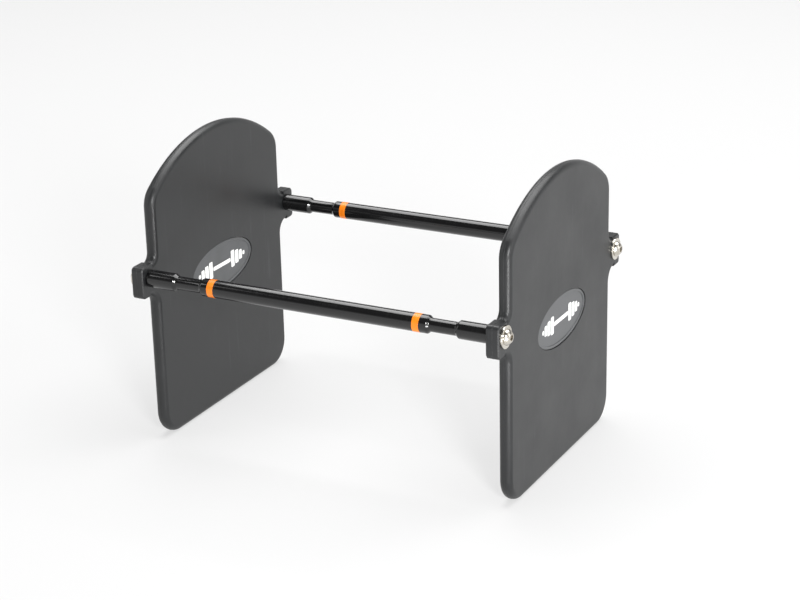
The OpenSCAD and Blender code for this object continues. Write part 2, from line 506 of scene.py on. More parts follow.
@dataclass(frozen=True)
class MouldedUrethane(Finish):
    """Cast polyurethane with a spark-textured skin: a dark satin that greys at a grazing view.

    Attributes:
        light: The colour of the paler blotches, from release agent and handling.
        scuff: The colour of the light rub marks.
        grain_mm: The skin's grain, drawn coarser than its real 0.3 mm so that it shows.
        flow_mm: The size of the slow waves that the mould leaves.
    """

    light: str = "#232425"
    scuff: str = "#4a4c4e"
    grain_mm: float = 0.9
    flow_mm: float = 38.0

    def pattern(self, tree: bpy.types.NodeTree, shader: bpy.types.Node) -> None:
        """Adds blotches, rub marks, grain and slow waves.

        Args:
            tree: The material's tree.
            shader: The shader that the pattern feeds.
        """
        spot = self.place(tree)
        blotch = self.noise(tree, spot, self.flow_mm, detail=4.0)
        base = self.blend(tree, self.spread(tree, blotch, 0, 1), self.colour, self.light)
        # Rub marks run up the plate, where the nested weights slide past it.
        streaks = self.noise(tree, self.place(tree, (1, 1, 0.02)), 2.2, detail=1.0)
        patches = self.noise(tree, spot, 24.0, detail=2.0)
        marks = self.spread(tree, streaks, 0, 1, 0.6, 0.74)
        worn = self.spread(tree, patches, 0, 0.24, 0.46, 0.7)
        share = add_node(
            tree, "ShaderNodeMath", {"operation": "MULTIPLY"}, i0=marks, i1=worn
        ).outputs[0]
        colour = add_node(
            tree, "ShaderNodeMix", {"data_type": "RGBA"}, i0=share, i6=base, i7=linear(self.scuff)
        ).outputs[2]
        grain = self.noise(tree, spot, self.grain_mm, detail=2.0)
        fill_inputs(
            tree, shader, Base_Color=colour,
            Roughness=self.spread(tree, blotch, self.roughness - 0.06, self.roughness + 0.07),
            Normal=self.bump(tree, grain, 0.045, self.bump(tree, blotch, 0.12)),
        )


@dataclass(frozen=True)
class BadgePlastic(Finish):
    """Moulded ABS with a fine satin skin: dark grey, but lighter and smoother than the plate.

    Attributes:
        light: The colour of the paler clouds.
        grain_mm: The satin skin's grain.
    """

    light: str = "#525355"
    grain_mm: float = 0.8

    def pattern(self, tree: bpy.types.NodeTree, shader: bpy.types.Node) -> None:
        """Adds a faint cloud in the grey and the satin grain.

        Args:
            tree: The material's tree.
            shader: The shader that the pattern feeds.
        """
        spot = self.place(tree)
        cloud = self.noise(tree, spot, 14.0, detail=3.0)
        fill_inputs(
            tree, shader,
            Base_Color=self.blend(tree, self.spread(tree, cloud, 0, 1), self.colour, self.light),
            Roughness=self.spread(tree, cloud, self.roughness - 0.03, self.roughness + 0.04),
            Normal=self.bump(tree, self.noise(tree, spot, self.grain_mm), 0.008),
        )


@dataclass(frozen=True)
class PrintedInk(Finish):
    """Pad-printed white ink: a clean matt white, thinner in a few specks.

    Attributes:
        thin: The colour where the ink is thin.
    """

    thin: str = "#cfcfcc"

    def pattern(self, tree: bpy.types.NodeTree, shader: bpy.types.Node) -> None:
        """Adds the specks where the ink is thin.

        Args:
            tree: The material's tree.
            shader: The shader that the pattern feeds.
        """
        speck = self.noise(tree, self.place(tree), 1.1, detail=3.0)
        worn = self.spread(tree, speck, 1, 0, 0.25, 0.42)
        fill_inputs(
            tree, shader,
            Base_Color=self.blend(tree, worn, self.colour, self.thin),
            Normal=self.bump(tree, speck, 0.01),
        )


@dataclass(frozen=True)
class GlossEnamel(Finish):
    """Baked gloss enamel on turned steel: a deep black that mirrors the lamps in long streaks.

    Attributes:
        peel_mm: The size of the paint's orange peel.
        rub_mm: The spacing of the fine rings that the smaller weights' rails rub into it.
    """

    peel_mm: float = 2.2
    rub_mm: float = 0.9

    def pattern(self, tree: bpy.types.NodeTree, shader: bpy.types.Node) -> None:
        """Adds the orange peel, the rub rings and a clear top coat.

        Args:
            tree: The material's tree.
            shader: The shader that the pattern feeds.
        """
        spot = self.place(tree)
        rings = self.noise(tree, self.place(tree, (1, 0.05, 0.05)), self.rub_mm, detail=3.0)
        patches = self.noise(tree, spot, 21.0)
        rub = add_node(
            tree, "ShaderNodeMath", {"operation": "MULTIPLY"}, i0=rings, i1=patches
        ).outputs[0]
        fill_inputs(
            tree, shader,
            Roughness=self.spread(
                tree, rub, self.roughness - 0.03, self.roughness + 0.1, 0.15, 0.4
            ),
            Normal=self.bump(tree, self.noise(tree, spot, self.peel_mm), 0.006),
            Coat_Weight=0.35, Coat_Roughness=0.04,
        )


@dataclass(frozen=True)
class BandVinyl(Finish):
    """Calendered PVC: a vivid orange ring with a soft gloss and a slightly deeper tone in patches.

    Attributes:
        deep: The colour of the deeper patches.
    """

    deep: str = "#e06a08"

    def pattern(self, tree: bpy.types.NodeTree, shader: bpy.types.Node) -> None:
        """Adds the deeper patches and a fine stretch grain.

        Args:
            tree: The material's tree.
            shader: The shader that the pattern feeds.
        """
        spot = self.place(tree)
        patch = self.noise(tree, spot, 6.0, detail=3.0)
        fill_inputs(
            tree, shader,
            Base_Color=self.blend(tree, self.spread(tree, patch, 0, 0.6), self.colour, self.deep),
            Normal=self.bump(tree, self.noise(tree, spot, 0.9), 0.006),
        )


@dataclass(frozen=True)
class ZincPlate(Finish):
    """Bright zinc plating on turned steel: a warm silver with fine rings round each screw's axis.

    Attributes:
        axis_y: The distance of a screw's axis from the middle of the weight, in metres.
        axis_z: The height of a screw's axis, in metres.
        dull: The colour where the passivation is thicker.
        ring_mm: The spacing of the turning rings, drawn coarser than the real 0.1 mm.
    """

    axis_y: float = 0.0
    axis_z: float = 0.0
    dull: str = "#b3aca0"
    ring_mm: float = 0.7

    def pattern(self, tree: bpy.types.NodeTree, shader: bpy.types.Node) -> None:
        """Adds the rings round both rows of screws, and the duller patches.

        Args:
            tree: The material's tree.
            shader: The shader that the pattern feeds.
        """
        spot = self.place(tree)
        folded = add_node(
            tree, "ShaderNodeVectorMath", {"operation": "ABSOLUTE"}, i0=spot
        ).outputs[0]
        centred = add_node(
            tree, "ShaderNodeMapping", Vector=folded, Location=(0, -self.axis_y, -self.axis_z)
        ).outputs["Vector"]
        rings = add_node(
            tree, "ShaderNodeTexWave", {"wave_type": "RINGS", "rings_direction": "X"},
            Vector=centred, Scale=per_metre(self.ring_mm) / 20, Distortion=0.4, Detail=1.0,
        ).outputs["Fac"]
        patch = self.noise(tree, spot, 5.0, detail=3.0)
        fill_inputs(
            tree, shader, Metallic=1.0,
            Base_Color=self.blend(tree, self.spread(tree, patch, 0, 0.8), self.colour, self.dull),
            Roughness=self.spread(tree, patch, self.roughness - 0.05, self.roughness + 0.08),
            Normal=self.bump(tree, rings, 0.004),
        )


@dataclass(frozen=True)
class MildSteel(Finish):
    """Laser-cut mild steel under a film of oil: a mid grey with darker mill scale in patches.

    Attributes:
        scale: The mill scale's colour.
    """

    scale: str = "#55524f"

    def pattern(self, tree: bpy.types.NodeTree, shader: bpy.types.Node) -> None:
        """Adds the mill scale and the rolling direction's fine lines.

        Args:
            tree: The material's tree.
            shader: The shader that the pattern feeds.
        """
        spot = self.place(tree)
        patch = self.noise(tree, spot, 18.0, detail=5.0)
        lines = self.noise(tree, self.place(tree, (1, 1, 0.03)), 1.0)
        fill_inputs(
            tree, shader, Metallic=1.0,
            Base_Color=self.blend(tree, self.spread(tree, patch, 0, 1), self.colour, self.scale),
            Roughness=self.spread(tree, lines, self.roughness - 0.08, self.roughness + 0.08),
            Normal=self.bump(tree, lines, 0.006),
        )


@dataclass(frozen=True)
class LitPaper(Finish):
    """White paper on a light table: an even white that takes only faint shadows.

    Attributes:
        glow: The strength of the light from under the paper.
    """

    glow: float = 0.56

    def pattern(self, tree: bpy.types.NodeTree, shader: bpy.types.Node) -> None:
        """Adds the light from under the paper.

        Args:
            tree: The material's tree.
            shader: The shader that the pattern feeds.
        """
        fill_inputs(
            tree, shader,
            Emission_Color=linear("#ffffff"), Emission_Strength=self.glow, Specular_IOR_Level=0.0,
        )


URETHANE = MouldedUrethane("moulded_polyurethane", "#191a1b", 0.4)
BADGE = BadgePlastic("moulded_abs", "#484a4b", 0.38)
INK = PrintedInk("printed_white_ink", "#f4f4f2", 0.5)
ENAMEL = GlossEnamel("baked_gloss_enamel", "#070708", 0.12)
VINYL = BandVinyl("orange_pvc", "#fb8a14", 0.3)
STEEL = MildSteel("oiled_mild_steel", "#7d7a76", 0.42)
PAPER = LitPaper("white_studio_paper", "#8c8c8c", 0.9)


# ----------------------------------------------------------- Geometry Nodes trees


def new_tree(name: str, inputs: list[tuple[str, str]]) -> tuple[bpy.types.NodeTree, bpy.types.Node]:
    """Starts a Geometry Nodes tree.

    Args:
        name: The tree's name.
        inputs: Each extra input's name and socket type.

    Returns:
        The tree and its input node.
    """
    tree = bpy.data.node_groups.new(name, "GeometryNodeTree")
    tree.interface.new_socket("Geometry", in_out="INPUT", socket_type="NodeSocketGeometry")
    for label, kind in inputs:
        tree.interface.new_socket(label, in_out="INPUT", socket_type=kind)
    tree.interface.new_socket("Geometry", in_out="OUTPUT", socket_type="NodeSocketGeometry")
    return tree, tree.nodes.new("NodeGroupInput")


def end_tree(
    tree: bpy.types.NodeTree, shape: bpy.types.NodeSocket, source: bpy.types.Node
) -> bpy.types.NodeTree:
    """Ends a tree with its merged, realised and dressed shape.

    Args:
        tree: The tree.
        shape: The geometry to finish.
        source: The tree's input node, which has inputs named Material and Sharp Angle.

    Returns:
        The same tree.
    """
    real = add_node(tree, "GeometryNodeRealizeInstances", Geometry=shape).outputs[0]
    merged = add_node(
        tree, "GeometryNodeMergeByDistance", Geometry=real, Distance=MERGE_DISTANCE
    ).outputs[0]
    soft = add_node(
        tree, "GeometryNodeSetShadeSmooth", {"domain": "FACE"}, Geometry=merged, Shade_Smooth=True
    )
    angle = add_node(tree, "GeometryNodeInputMeshEdgeAngle").outputs["Unsigned Angle"]
    sharp = add_node(
        tree, "FunctionNodeCompare", {"data_type": "FLOAT", "operation": "GREATER_THAN"},
        i0=angle, i1=source.outputs["Sharp Angle"],
    ).outputs["Result"]
    edged = add_node(
        tree, "GeometryNodeSetShadeSmooth", {"domain": "EDGE"},
        Geometry=soft.outputs[0], Selection=sharp, Shade_Smooth=False,
    )
    dressed = add_node(
        tree, "GeometryNodeSetMaterial",
        Geometry=edged.outputs[0], Material=source.outputs["Material"],
    )
    add_node(tree, "NodeGroupOutput", Geometry=dressed.outputs[0])
    return tree


def lathe_tree() -> bpy.types.NodeTree:
    """Builds the tree that turns a section round the X axis, as a lathe does.

    The section is a run of edges with its radius, less the spindle's, along X and its place on
    the axis along -Y, because that is how a sweep round a circle lays it.

    Returns:
        The tree, whose inputs are Sides, Spindle, Place, Sharp Angle and Material.
    """
    tree, source = new_tree(
        "lathe",
        [
            ("Sides", "NodeSocketInt"),
            ("Spindle", "NodeSocketFloat"),
            ("Place", "NodeSocketVector"),
            ("Sharp Angle", "NodeSocketFloat"),
            ("Material", "NodeSocketMaterial"),
        ],
    )
    section = add_node(tree, "GeometryNodeMeshToCurve", Mesh=source.outputs["Geometry"]).outputs[0]
    round_path = add_node(
        tree, "GeometryNodeCurvePrimitiveCircle",
        Resolution=source.outputs["Sides"], Radius=source.outputs["Spindle"],
    ).outputs[0]
    turned = add_node(
        tree, "GeometryNodeCurveToMesh", Curve=round_path, Profile_Curve=section
    ).outputs[0]
    laid = add_node(
        tree, "GeometryNodeTransform",
        Geometry=turned, Rotation=(0, math.radians(90), 0), Translation=source.outputs["Place"],
    ).outputs[0]
    return end_tree(tree, laid, source)


def ridge_tree() -> bpy.types.NodeTree:
    """Builds the tree that lays a thin round ridge along a path.

    Returns:
        The tree, whose inputs are Radius, Sides, Sharp Angle and Material.
    """
    tree, source = new_tree(
        "ridge",
        [
            ("Radius", "NodeSocketFloat"),
            ("Sides", "NodeSocketInt"),
            ("Sharp Angle", "NodeSocketFloat"),
            ("Material", "NodeSocketMaterial"),
        ],
    )
    path = add_node(tree, "GeometryNodeMeshToCurve", Mesh=source.outputs["Geometry"]).outputs[0]
    ring = add_node(
        tree, "GeometryNodeCurvePrimitiveCircle",
        Resolution=source.outputs["Sides"], Radius=source.outputs["Radius"],
    ).outputs[0]
    swept = add_node(
        tree, "GeometryNodeCurveToMesh", Curve=path, Profile_Curve=ring, Fill_Caps=True
    ).outputs[0]
    return end_tree(tree, swept, source)


def hardware_tree() -> bpy.types.NodeTree:
    """Builds the tree that puts one fastener at each ear, pointing out of the weight.

    Each fastener is turned about its own axis by a chance angle, as hand-tightened ones are.

    Returns:
        The tree, whose inputs are Template, Seed, Sharp Angle and Material.
    """
    tree, source = new_tree(
        "ear_hardware",
        [
            ("Template", "NodeSocketObject"),
            ("Seed", "NodeSocketInt"),
            ("Sharp Angle", "NodeSocketFloat"),
            ("Material", "NodeSocketMaterial"),
        ],
    )
    template = add_node(
        tree, "GeometryNodeObjectInfo", Object=source.outputs["Template"]
    ).outputs["Geometry"]
    position = add_node(tree, "GeometryNodeInputPosition").outputs[0]
    along = add_node(tree, "ShaderNodeSeparateXYZ", i0=position).outputs["X"]
    on_left = add_node(
        tree, "ShaderNodeMath", {"operation": "LESS_THAN"}, i0=along, i1=0.0
    ).outputs[0]
    about = add_node(
        tree, "ShaderNodeMath", {"operation": "MULTIPLY"}, i0=on_left, i1=math.pi
    ).outputs[0]
    chance = add_node(
        tree, "FunctionNodeRandomValue", {"data_type": "FLOAT"},
        i2=0.0, i3=math.tau, Seed=source.outputs["Seed"],
    ).outputs[1]
    turn = add_node(tree, "ShaderNodeCombineXYZ", X=chance, Z=about).outputs[0]
    placed = add_node(
        tree, "GeometryNodeInstanceOnPoints",
        Points=source.outputs["Geometry"], Instance=template, Rotation=turn,
    ).outputs[0]
    return end_tree(tree, placed, source)


# ------------------------------------------------------------------ sub-assemblies


@dataclass
class Trees:
    """The three Geometry Nodes trees that the sub-assemblies share."""

    lathe: bpy.types.NodeTree
    ridge: bpy.types.NodeTree
    hardware: bpy.types.NodeTree

    def turn(
        self, name: str, section: list[Pair], place: Triple, finish: Finish,
        closed: bool = False, sides: int = 96,
    ) -> bpy.types.Object:
        """Turns a section on the lathe.

        Args:
            name: The piece's name.
            section: The section's points, each as its place along the axis and its radius.
            place: Where the section's zero lies.
            finish: The piece's finish.
            closed: Whether the section is a ring's, which closes on itself.
            sides: How many sides the round has.

        Returns:
            The finished piece.
        """
        spindle = 0.1 * MM
        points = [(radius - spindle, -along, 0.0) for along, radius in section]
        piece = grow_by_tree(
            self.lathe, name, polyline(name, points, closed),
            Sides=sides, Spindle=spindle, Place=place,
            Sharp_Angle=math.radians(SHARP_ANGLE), Material=finish.material(),
        )
        make_outward(piece)
        return piece


@dataclass
class EndPlate:
    """One end plate: its steel core, its moulded cover and the mould's parting line.

    Attributes:
        end: The end of the rails that the plate stands at.
        trees: The shared Geometry Nodes trees.
        half_width: Half of the plate's width without its ears.
        dome_radius: The domed top's radius.
        shoulder_radius: The radius between the dome and the sides.
        corner_radius: The bottom corners' radius.
        ear_above: The ear's height above the rail's axis.
        ear_below: The ear's depth below the rail's axis.
        ear_corner_radius: The radius of the ear's outer corners.
        top_hollow: The radius of the hollow corner above the ear.
        bottom_hollow: The radius of the hollow corner below the ear.
        parting_radius: The radius of the thin ridge that the mould's halves leave.
        window_round: The rounding of the edge of each badge's window.
    """

    end: End
    trees: Trees
    half_width: float = 86.4 * MM
    dome_radius: float = 133 * MM
    shoulder_radius: float = 17.5 * MM
    corner_radius: float = 19 * MM
    ear_above: float = 9.6 * MM
    ear_below: float = 13.8 * MM
    ear_corner_radius: float = 3 * MM
    top_hollow: float = 5.5 * MM
    bottom_hollow: float = 9 * MM
    parting_radius: float = 0.16 * MM
    window_round: float = 0.3 * MM

    def build(self) -> None:
        """Builds and dresses the plate."""
        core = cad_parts[f"{self.end.word}_plate_core"]
        dress(core, STEEL)
        self.cover()
        self.parting_line()

    def cover(self) -> bpy.types.Object:
        """Makes the cover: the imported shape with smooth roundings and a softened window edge.

        Returns:
            The cover.
        """
        node = f"{self.end.word}_plate_cover"
        piece = copy_node(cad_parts[node], f"{self.end.word}_moulded_cover", self.ease_windows)
        piece.data.materials.append(URETHANE.material())
        return finish_piece(piece, "plate_urethane", node)

    def ease_windows(self, shape: bmesh.types.BMesh) -> None:
        """Rounds the edge of both of the cover's windows, where they meet its faces.

        Args:
            shape: The cover's merged mesh, which is changed in place.
        """
        badge_low, badge_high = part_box(f"{self.end.word}_outer_badge")
        cover_low, cover_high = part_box(f"{self.end.word}_plate_cover")
        middle, half = (badge_low + badge_high) / 2, (badge_high - badge_low) / 2

        def on_rim(vert: bmesh.types.BMVert) -> bool:
            """Tells whether a corner lies on a window's rim.

            Args:
                vert: The corner.

            Returns:
                True if it lies on one of the cover's faces and on the badge's oval.
            """
            on_face = min(vert.co.x - cover_low.x, cover_high.x - vert.co.x) < MERGE_DISTANCE
            across, up = (vert.co.y - middle.y) / half.y, (vert.co.z - middle.z) / half.z
            return on_face and abs(math.hypot(across, up) - 1) < 0.01

        rims = [edge for edge in shape.edges if on_rim(edge.verts[0]) and on_rim(edge.verts[1])]
        bmesh.ops.bevel(
            shape, geom=rims, offset=self.window_round, offset_type="OFFSET",
            segments=3, profile=0.5, affect="EDGES",
        )
        LOG.info("%s cover: %d window edges rounded", self.end.word, len(rims))

    def outline(self) -> list[Pair]:
        """Gives the plate's outline with its ears, without the worn bottom edge.

        Returns:
            Points across and up the plate, from one bottom corner over the dome to the other.
        """
        low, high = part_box(f"{self.end.word}_plate_cover")
        rail_low, rail_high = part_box("rear_rail")
        rail_z = (rail_low.z + rail_high.z) / 2
        ear_end = high.y
        top, bottom = rail_z + self.ear_above, rail_z - self.ear_below
        dome_z = high.z - self.dome_radius
        shoulder_y = self.half_width - self.shoulder_radius
        reach = self.dome_radius - self.shoulder_radius
        shoulder_z = dome_z + math.sqrt(reach**2 - shoulder_y**2)
        shoulder_angle = math.degrees(math.atan2(shoulder_z - dome_z, shoulder_y))
        corner = (self.half_width - self.corner_radius, low.z + self.corner_radius)
        hollow_low = (self.half_width + self.bottom_hollow, bottom - self.bottom_hollow)
        hollow_high = (self.half_width + self.top_hollow, top + self.top_hollow)
        inner = self.ear_corner_radius
        right = [
            *arc(corner, self.corner_radius, -70, 0, 12),
            *arc(hollow_low, self.bottom_hollow, 180, 90, 10),
            *arc((ear_end - inner, bottom + inner), inner, -90, 0, 5),
            *arc((ear_end - inner, top - inner), inner, 0, 90, 5),
            *arc(hollow_high, self.top_hollow, 270, 180, 8),
            *arc((shoulder_y, shoulder_z), self.shoulder_radius, 0, shoulder_angle, 12),
            *arc((0, dome_z), self.dome_radius, shoulder_angle, 90, 24)[1:],
        ]
        return right + [(-across, up) for across, up in reversed(right[:-1])]

    def parting_line(self) -> bpy.types.Object:
        """Makes the thin ridge round the cover's edge, where the mould's halves met.

        Returns:
            The ridge.
        """
        low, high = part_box(f"{self.end.word}_plate_core")
        middle = (low.x + high.x) / 2
        name = f"{self.end.word}_parting_line"
        path = polyline(name, [(middle, across, up) for across, up in self.outline()])
        piece = grow_by_tree(
            self.trees.ridge, name, path, Radius=self.parting_radius, Sides=8,
            Sharp_Angle=math.radians(60), Material=URETHANE.material(),
        )
        make_outward(piece)
        return finish_piece(piece, "plate_urethane")


@dataclass(frozen=True)
class Bar:
    """One upright bar of the printed emblem, in millimetres.

    Attributes:
        centre: The distance of the bar's middle from the badge's middle.
        width: The bar's width.
        height: The bar's height.
    """

    centre: float
    width: float
    height: float

    def outline(self, radius: float) -> list[Pair]:
        """Gives the bar's outline in metres, with round corners.

        Args:
            radius: The corners' radius in metres.

        Returns:
            The outline's points.
        """
        middle = self.centre * MM
        x, y = self.width * MM / 2 - radius, self.height * MM / 2 - radius
        points = []
        for corner, start in (((x, y), 0), ((-x, y), 90), ((-x, -y), 180), ((x, -y), 270)):
            points += arc((middle + corner[0], corner[1]), radius, start, start + 90, 6)
        return points


HANDLE_BAR = Bar(0.0, 24.0, 3.0)
WEIGHT_BARS = (Bar(15.2, 4.6, 13.0), Bar(20.9, 4.6, 10.4), Bar(26.2, 4.0, 7.4), Bar(30.6, 2.8, 3.0))


@dataclass
class Badge:
    """One oval badge: a dished plastic plaque with a rounded rim and a white printed emblem.

    Attributes:
        end: The end of the rails that the badge's plate stands at.
        face: The plate's face that the badge sits in.
        rim_width: The rim's width.
        dish_height: The height of the dished face above the plaque's back.
        edge_round: The rounding of the rim's edges.
        gap: The dark gap between the rim and the cover's window.
        ink_height: How far the printed ink stands above the dished face.
        ink_depth: How far the ink reaches into the face, so that no gap shows under it.
        ink_corner: The radius of the emblem's corners.
        sharp_angle: The angle past which the badge's edges stay sharp, in degrees.
        steps: How many sides the oval has.
        out: The way the face looks, as the sign of X.
        back: The place of the plaque's back along X.
        rim_height: The rim's height above the back.
        half: Half of the badge's length and height.
        middle: The height of the badge's centre above the floor.
    """

    end: End
    face: Face
    rim_width: float = 2 * MM
    dish_height: float = 0.2 * MM
    edge_round: float = 0.2 * MM
    gap: float = 0.45 * MM
    ink_height: float = 0.06 * MM
    ink_depth: float = 0.02 * MM
    ink_corner: float = 0.9 * MM
    sharp_angle: float = 40.0
    steps: int = 128
    out: int = field(init=False)
    back: float = field(init=False)
    rim_height: float = field(init=False)
    half: Pair = field(init=False)
    middle: float = field(init=False)

    def __post_init__(self) -> None:
        """Takes the badge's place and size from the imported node."""
        low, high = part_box(self.node)
        self.out = self.end.value if self.face is Face.OUTER else -self.end.value
        self.back = low.x if self.out > 0 else high.x
        self.rim_height = high.x - low.x
        self.half = ((high.y - low.y) / 2, (high.z - low.z) / 2)
        self.middle = (low.z + high.z) / 2

    @property
    def node(self) -> str:
        """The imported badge's name."""
        return f"{self.end.word}_{self.face.value}_badge"

    def build(self) -> None:
        """Builds and dresses the plaque and its emblem."""
        plaque = self.plaque(f"{self.end.word}_{self.face.value}_plaque")
        finish_piece(plaque, "badge_plastic", self.node)
        finish_piece(self.emblem(f"{self.end.word}_{self.face.value}_emblem"), "badge_plastic")

    def point(self, across: float, up: float, height: float) -> Triple:
        """Places a point of the badge in the frame, at a height above the plaque's back."""
        return (self.back + self.out * height, across, self.middle + up)

    def plaque(self, name: str) -> bpy.types.Object:
        """Makes the plaque from oval rings, each with its inset and its height.

        Args:
            name: The piece's name.

        Returns:
            The plaque.
        """
        r, rim, dish = self.edge_round, self.rim_height, self.dish_height
        corner = (0, 0.4, 0.8, 1.2, math.pi / 2)
        root = (0, 0.5, 1.0, math.pi / 2)
        outer = [(r - r * math.cos(a), rim - r + r * math.sin(a)) for a in corner]
        inner = [(self.rim_width - r + r * math.sin(a), rim - r + r * math.cos(a)) for a in corner]
        hollow = [
            (self.rim_width + r / 2 * (1 - math.cos(a)), dish + r / 2 * (1 - math.sin(a)))
            for a in root
        ]
        profile = [(0.0, 0.0), *outer, *inner, *hollow]
        rings = [(self.gap + inset, height) for inset, height in profile]
        shape = bmesh.new()
        loops = []
        for inset, height in rings:
            loop = []
            for i in range(self.steps):
                angle = math.tau * i / self.steps
                across = (self.half[0] - inset) * math.cos(angle)
                up = (self.half[1] - inset) * math.sin(angle)
                loop.append(shape.verts.new(self.point(across, up, height)))
            loops.append(loop)
        for first, second in zip(loops, loops[1:]):
            for i in range(self.steps):
                j = (i + 1) % self.steps
                shape.faces.new((first[i], first[j], second[j], second[i]))
        shape.faces.new(loops[0])
        shape.faces.new(loops[-1])
        return self.close(shape, name, BADGE)

    def emblem(self, name: str) -> bpy.types.Object:
        """Makes the white emblem: a plain dumbbell in separate rounded bars.

        Args:
            name: The piece's name.

        Returns:
            The emblem.
        """
        bars = [HANDLE_BAR]
        for sign in (-1, 1):
            bars += [replace(bar, centre=sign * bar.centre) for bar in WEIGHT_BARS]
        shape = bmesh.new()
        low, high = self.dish_height - self.ink_depth, self.dish_height + self.ink_height
        for bar in bars:
            outline = bar.outline(self.ink_corner)
            under = [shape.verts.new(self.point(across, up, low)) for across, up in outline]
            over = [shape.verts.new(self.point(across, up, high)) for across, up in outline]
            shape.faces.new(under)
            shape.faces.new(over)
            for i in range(len(outline)):
                j = (i + 1) % len(outline)
                shape.faces.new((under[i], under[j], over[j], over[i]))
        return self.close(shape, name, INK)

    def close(self, shape: bmesh.types.BMesh, name: str, finish: Finish) -> bpy.types.Object:
        """Turns a closed shape into a smooth, dressed piece.

        Args:
            shape: The shape, which is freed.
            name: The piece's name.
            finish: The piece's finish.

        Returns:
            The piece.
        """
        bmesh.ops.recalc_face_normals(shape, faces=shape.faces)
        shade(shape, self.sharp_angle)
        mesh = bpy.data.meshes.new(name)
        shape.to_mesh(mesh)
        shape.free()
        mesh.materials.append(finish.material())
        return weigh_normals(link_object(mesh, name))


@dataclass
class Rail:
    """One turned rail with its two necks, and the two colour bands in its grooves.

    Attributes:
        side: The side of the weight that the rail is on.
        trees: The shared Geometry Nodes trees.
        neck_radius: The necks' radius.
        neck_length: A neck's length between its shoulders.
        collar_length: The length of the thick end against the plate.
        slope_length: The length of a sloping shoulder.
        slope_radius: The radius of the shoulders' edges.
        end_bevel: The bevel at the rail's ends.
        band_width: A band's width.
        band_gap: The distance from a shoulder to the band.
        band_thickness: A band's thickness.
        band_proud: How far a band stands above the rail.
        band_ease: The easing of a band's outer edges.
        thread_radius: The tapped hole's radius.
        thread_depth: The tapped hole's depth.
        place: The rail's middle.
        half_length: Half of the rail's length.
        radius: The rail's radius.
    """

    side: Side
    trees: Trees
    neck_radius: float = 4.75 * MM
    neck_length: float = 19.2 * MM
    collar_length: float = 22.2 * MM
    slope_length: float = 2 * MM
    slope_radius: float = 1.5 * MM
    end_bevel: float = 0.8 * MM
    band_width: float = 5 * MM
    band_gap: float = 5.2 * MM
    band_thickness: float = 0.4 * MM
    band_proud: float = 0.08 * MM
    band_ease: float = 0.06 * MM
    thread_radius: float = 3.2 * MM
    thread_depth: float = 18.3 * MM
    place: Triple = field(init=False)
    half_length: float = field(init=False)
    radius: float = field(init=False)

    def __post_init__(self) -> None:
        """Takes the rail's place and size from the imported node."""
        low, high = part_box(self.node)
        self.place = tuple((low + high) / 2)
        self.half_length = (high.x - low.x) / 2
        self.radius = (high.z - low.z) / 2

    @property
    def node(self) -> str:
        """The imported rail's name."""
        return f"{self.side.word}_rail"

    @property
    def neck_end(self) -> float:
        """The distance of a neck's outer end from the rail's middle."""
        return self.half_length - self.collar_length - self.slope_length

    @property
    def body_end(self) -> float:
        """The distance of the thick body's end from the rail's middle."""
        return self.neck_end - self.neck_length - self.slope_length

    @property
    def band_middle(self) -> float:
        """The distance of a band's middle from the rail's middle."""
        return self.body_end - self.band_gap - self.band_width / 2

    def build(self) -> None:
        """Builds and dresses the rail and its bands."""
        piece = self.trees.turn(f"{self.side.word}_turned_rail", self.section(), self.place, ENAMEL)
        finish_piece(piece, "rail_paint", self.node)
        for end in End:
            place = (self.place[0] + end.value * self.band_middle, self.place[1], self.place[2])
            name = f"{self.side.word}_{end.word}"
            band = self.trees.turn(
                f"{name}_colour_band", self.band_section(), place, VINYL, closed=True
            )
            finish_piece(band, "band_orange", f"{name}_band")

    def section(self) -> list[Pair]:
        """Gives the rail's section from one tapped hole to the other.

        Returns:
            The points, each as its place along the axis and its radius.
        """
        groove = self.radius + self.band_proud - self.band_thickness
        inner = self.band_middle - self.band_width / 2
        outer = self.band_middle + self.band_width / 2
        start = (0.0, self.radius)
        body = (self.body_end, self.radius)
        neck_in = (self.body_end + self.slope_length, self.neck_radius)
        neck_out = (self.neck_end, self.neck_radius)
        collar = (self.neck_end + self.slope_length, self.radius)
        edge = (self.half_length - self.end_bevel, self.radius)
        half = [
            (inner, self.radius),
            (inner, groove),
            (outer, groove),
            (outer, self.radius),
            *round_corner(start, body, neck_in, self.slope_radius),
            *round_corner(body, neck_in, neck_out, self.slope_radius),
            *round_corner(neck_in, neck_out, collar, self.slope_radius),
            *round_corner(neck_out, collar, edge, self.slope_radius),
            edge,
            (self.half_length, self.radius - self.end_bevel),
            (self.half_length, self.thread_radius),
            (self.half_length - self.thread_depth, self.thread_radius),
            (self.half_length - self.thread_depth - self.thread_radius / 2, 0.0),
        ]
        return [(-along, radius) for along, radius in reversed(half)] + half

    def band_section(self) -> list[Pair]:
        """Gives a band's closed section, with its outer edges eased.

        Returns:
            Pairs of the distance along the rail and the radius.
        """
        outside = self.radius + self.band_proud
        inside = outside - self.band_thickness
        half, ease = self.band_width / 2, self.band_ease
        return [
            (-half, inside),
            (-half, outside - ease),
            (ease - half, outside),
            (half - ease, outside),
            (half, outside - ease),
            (half, inside),
        ]


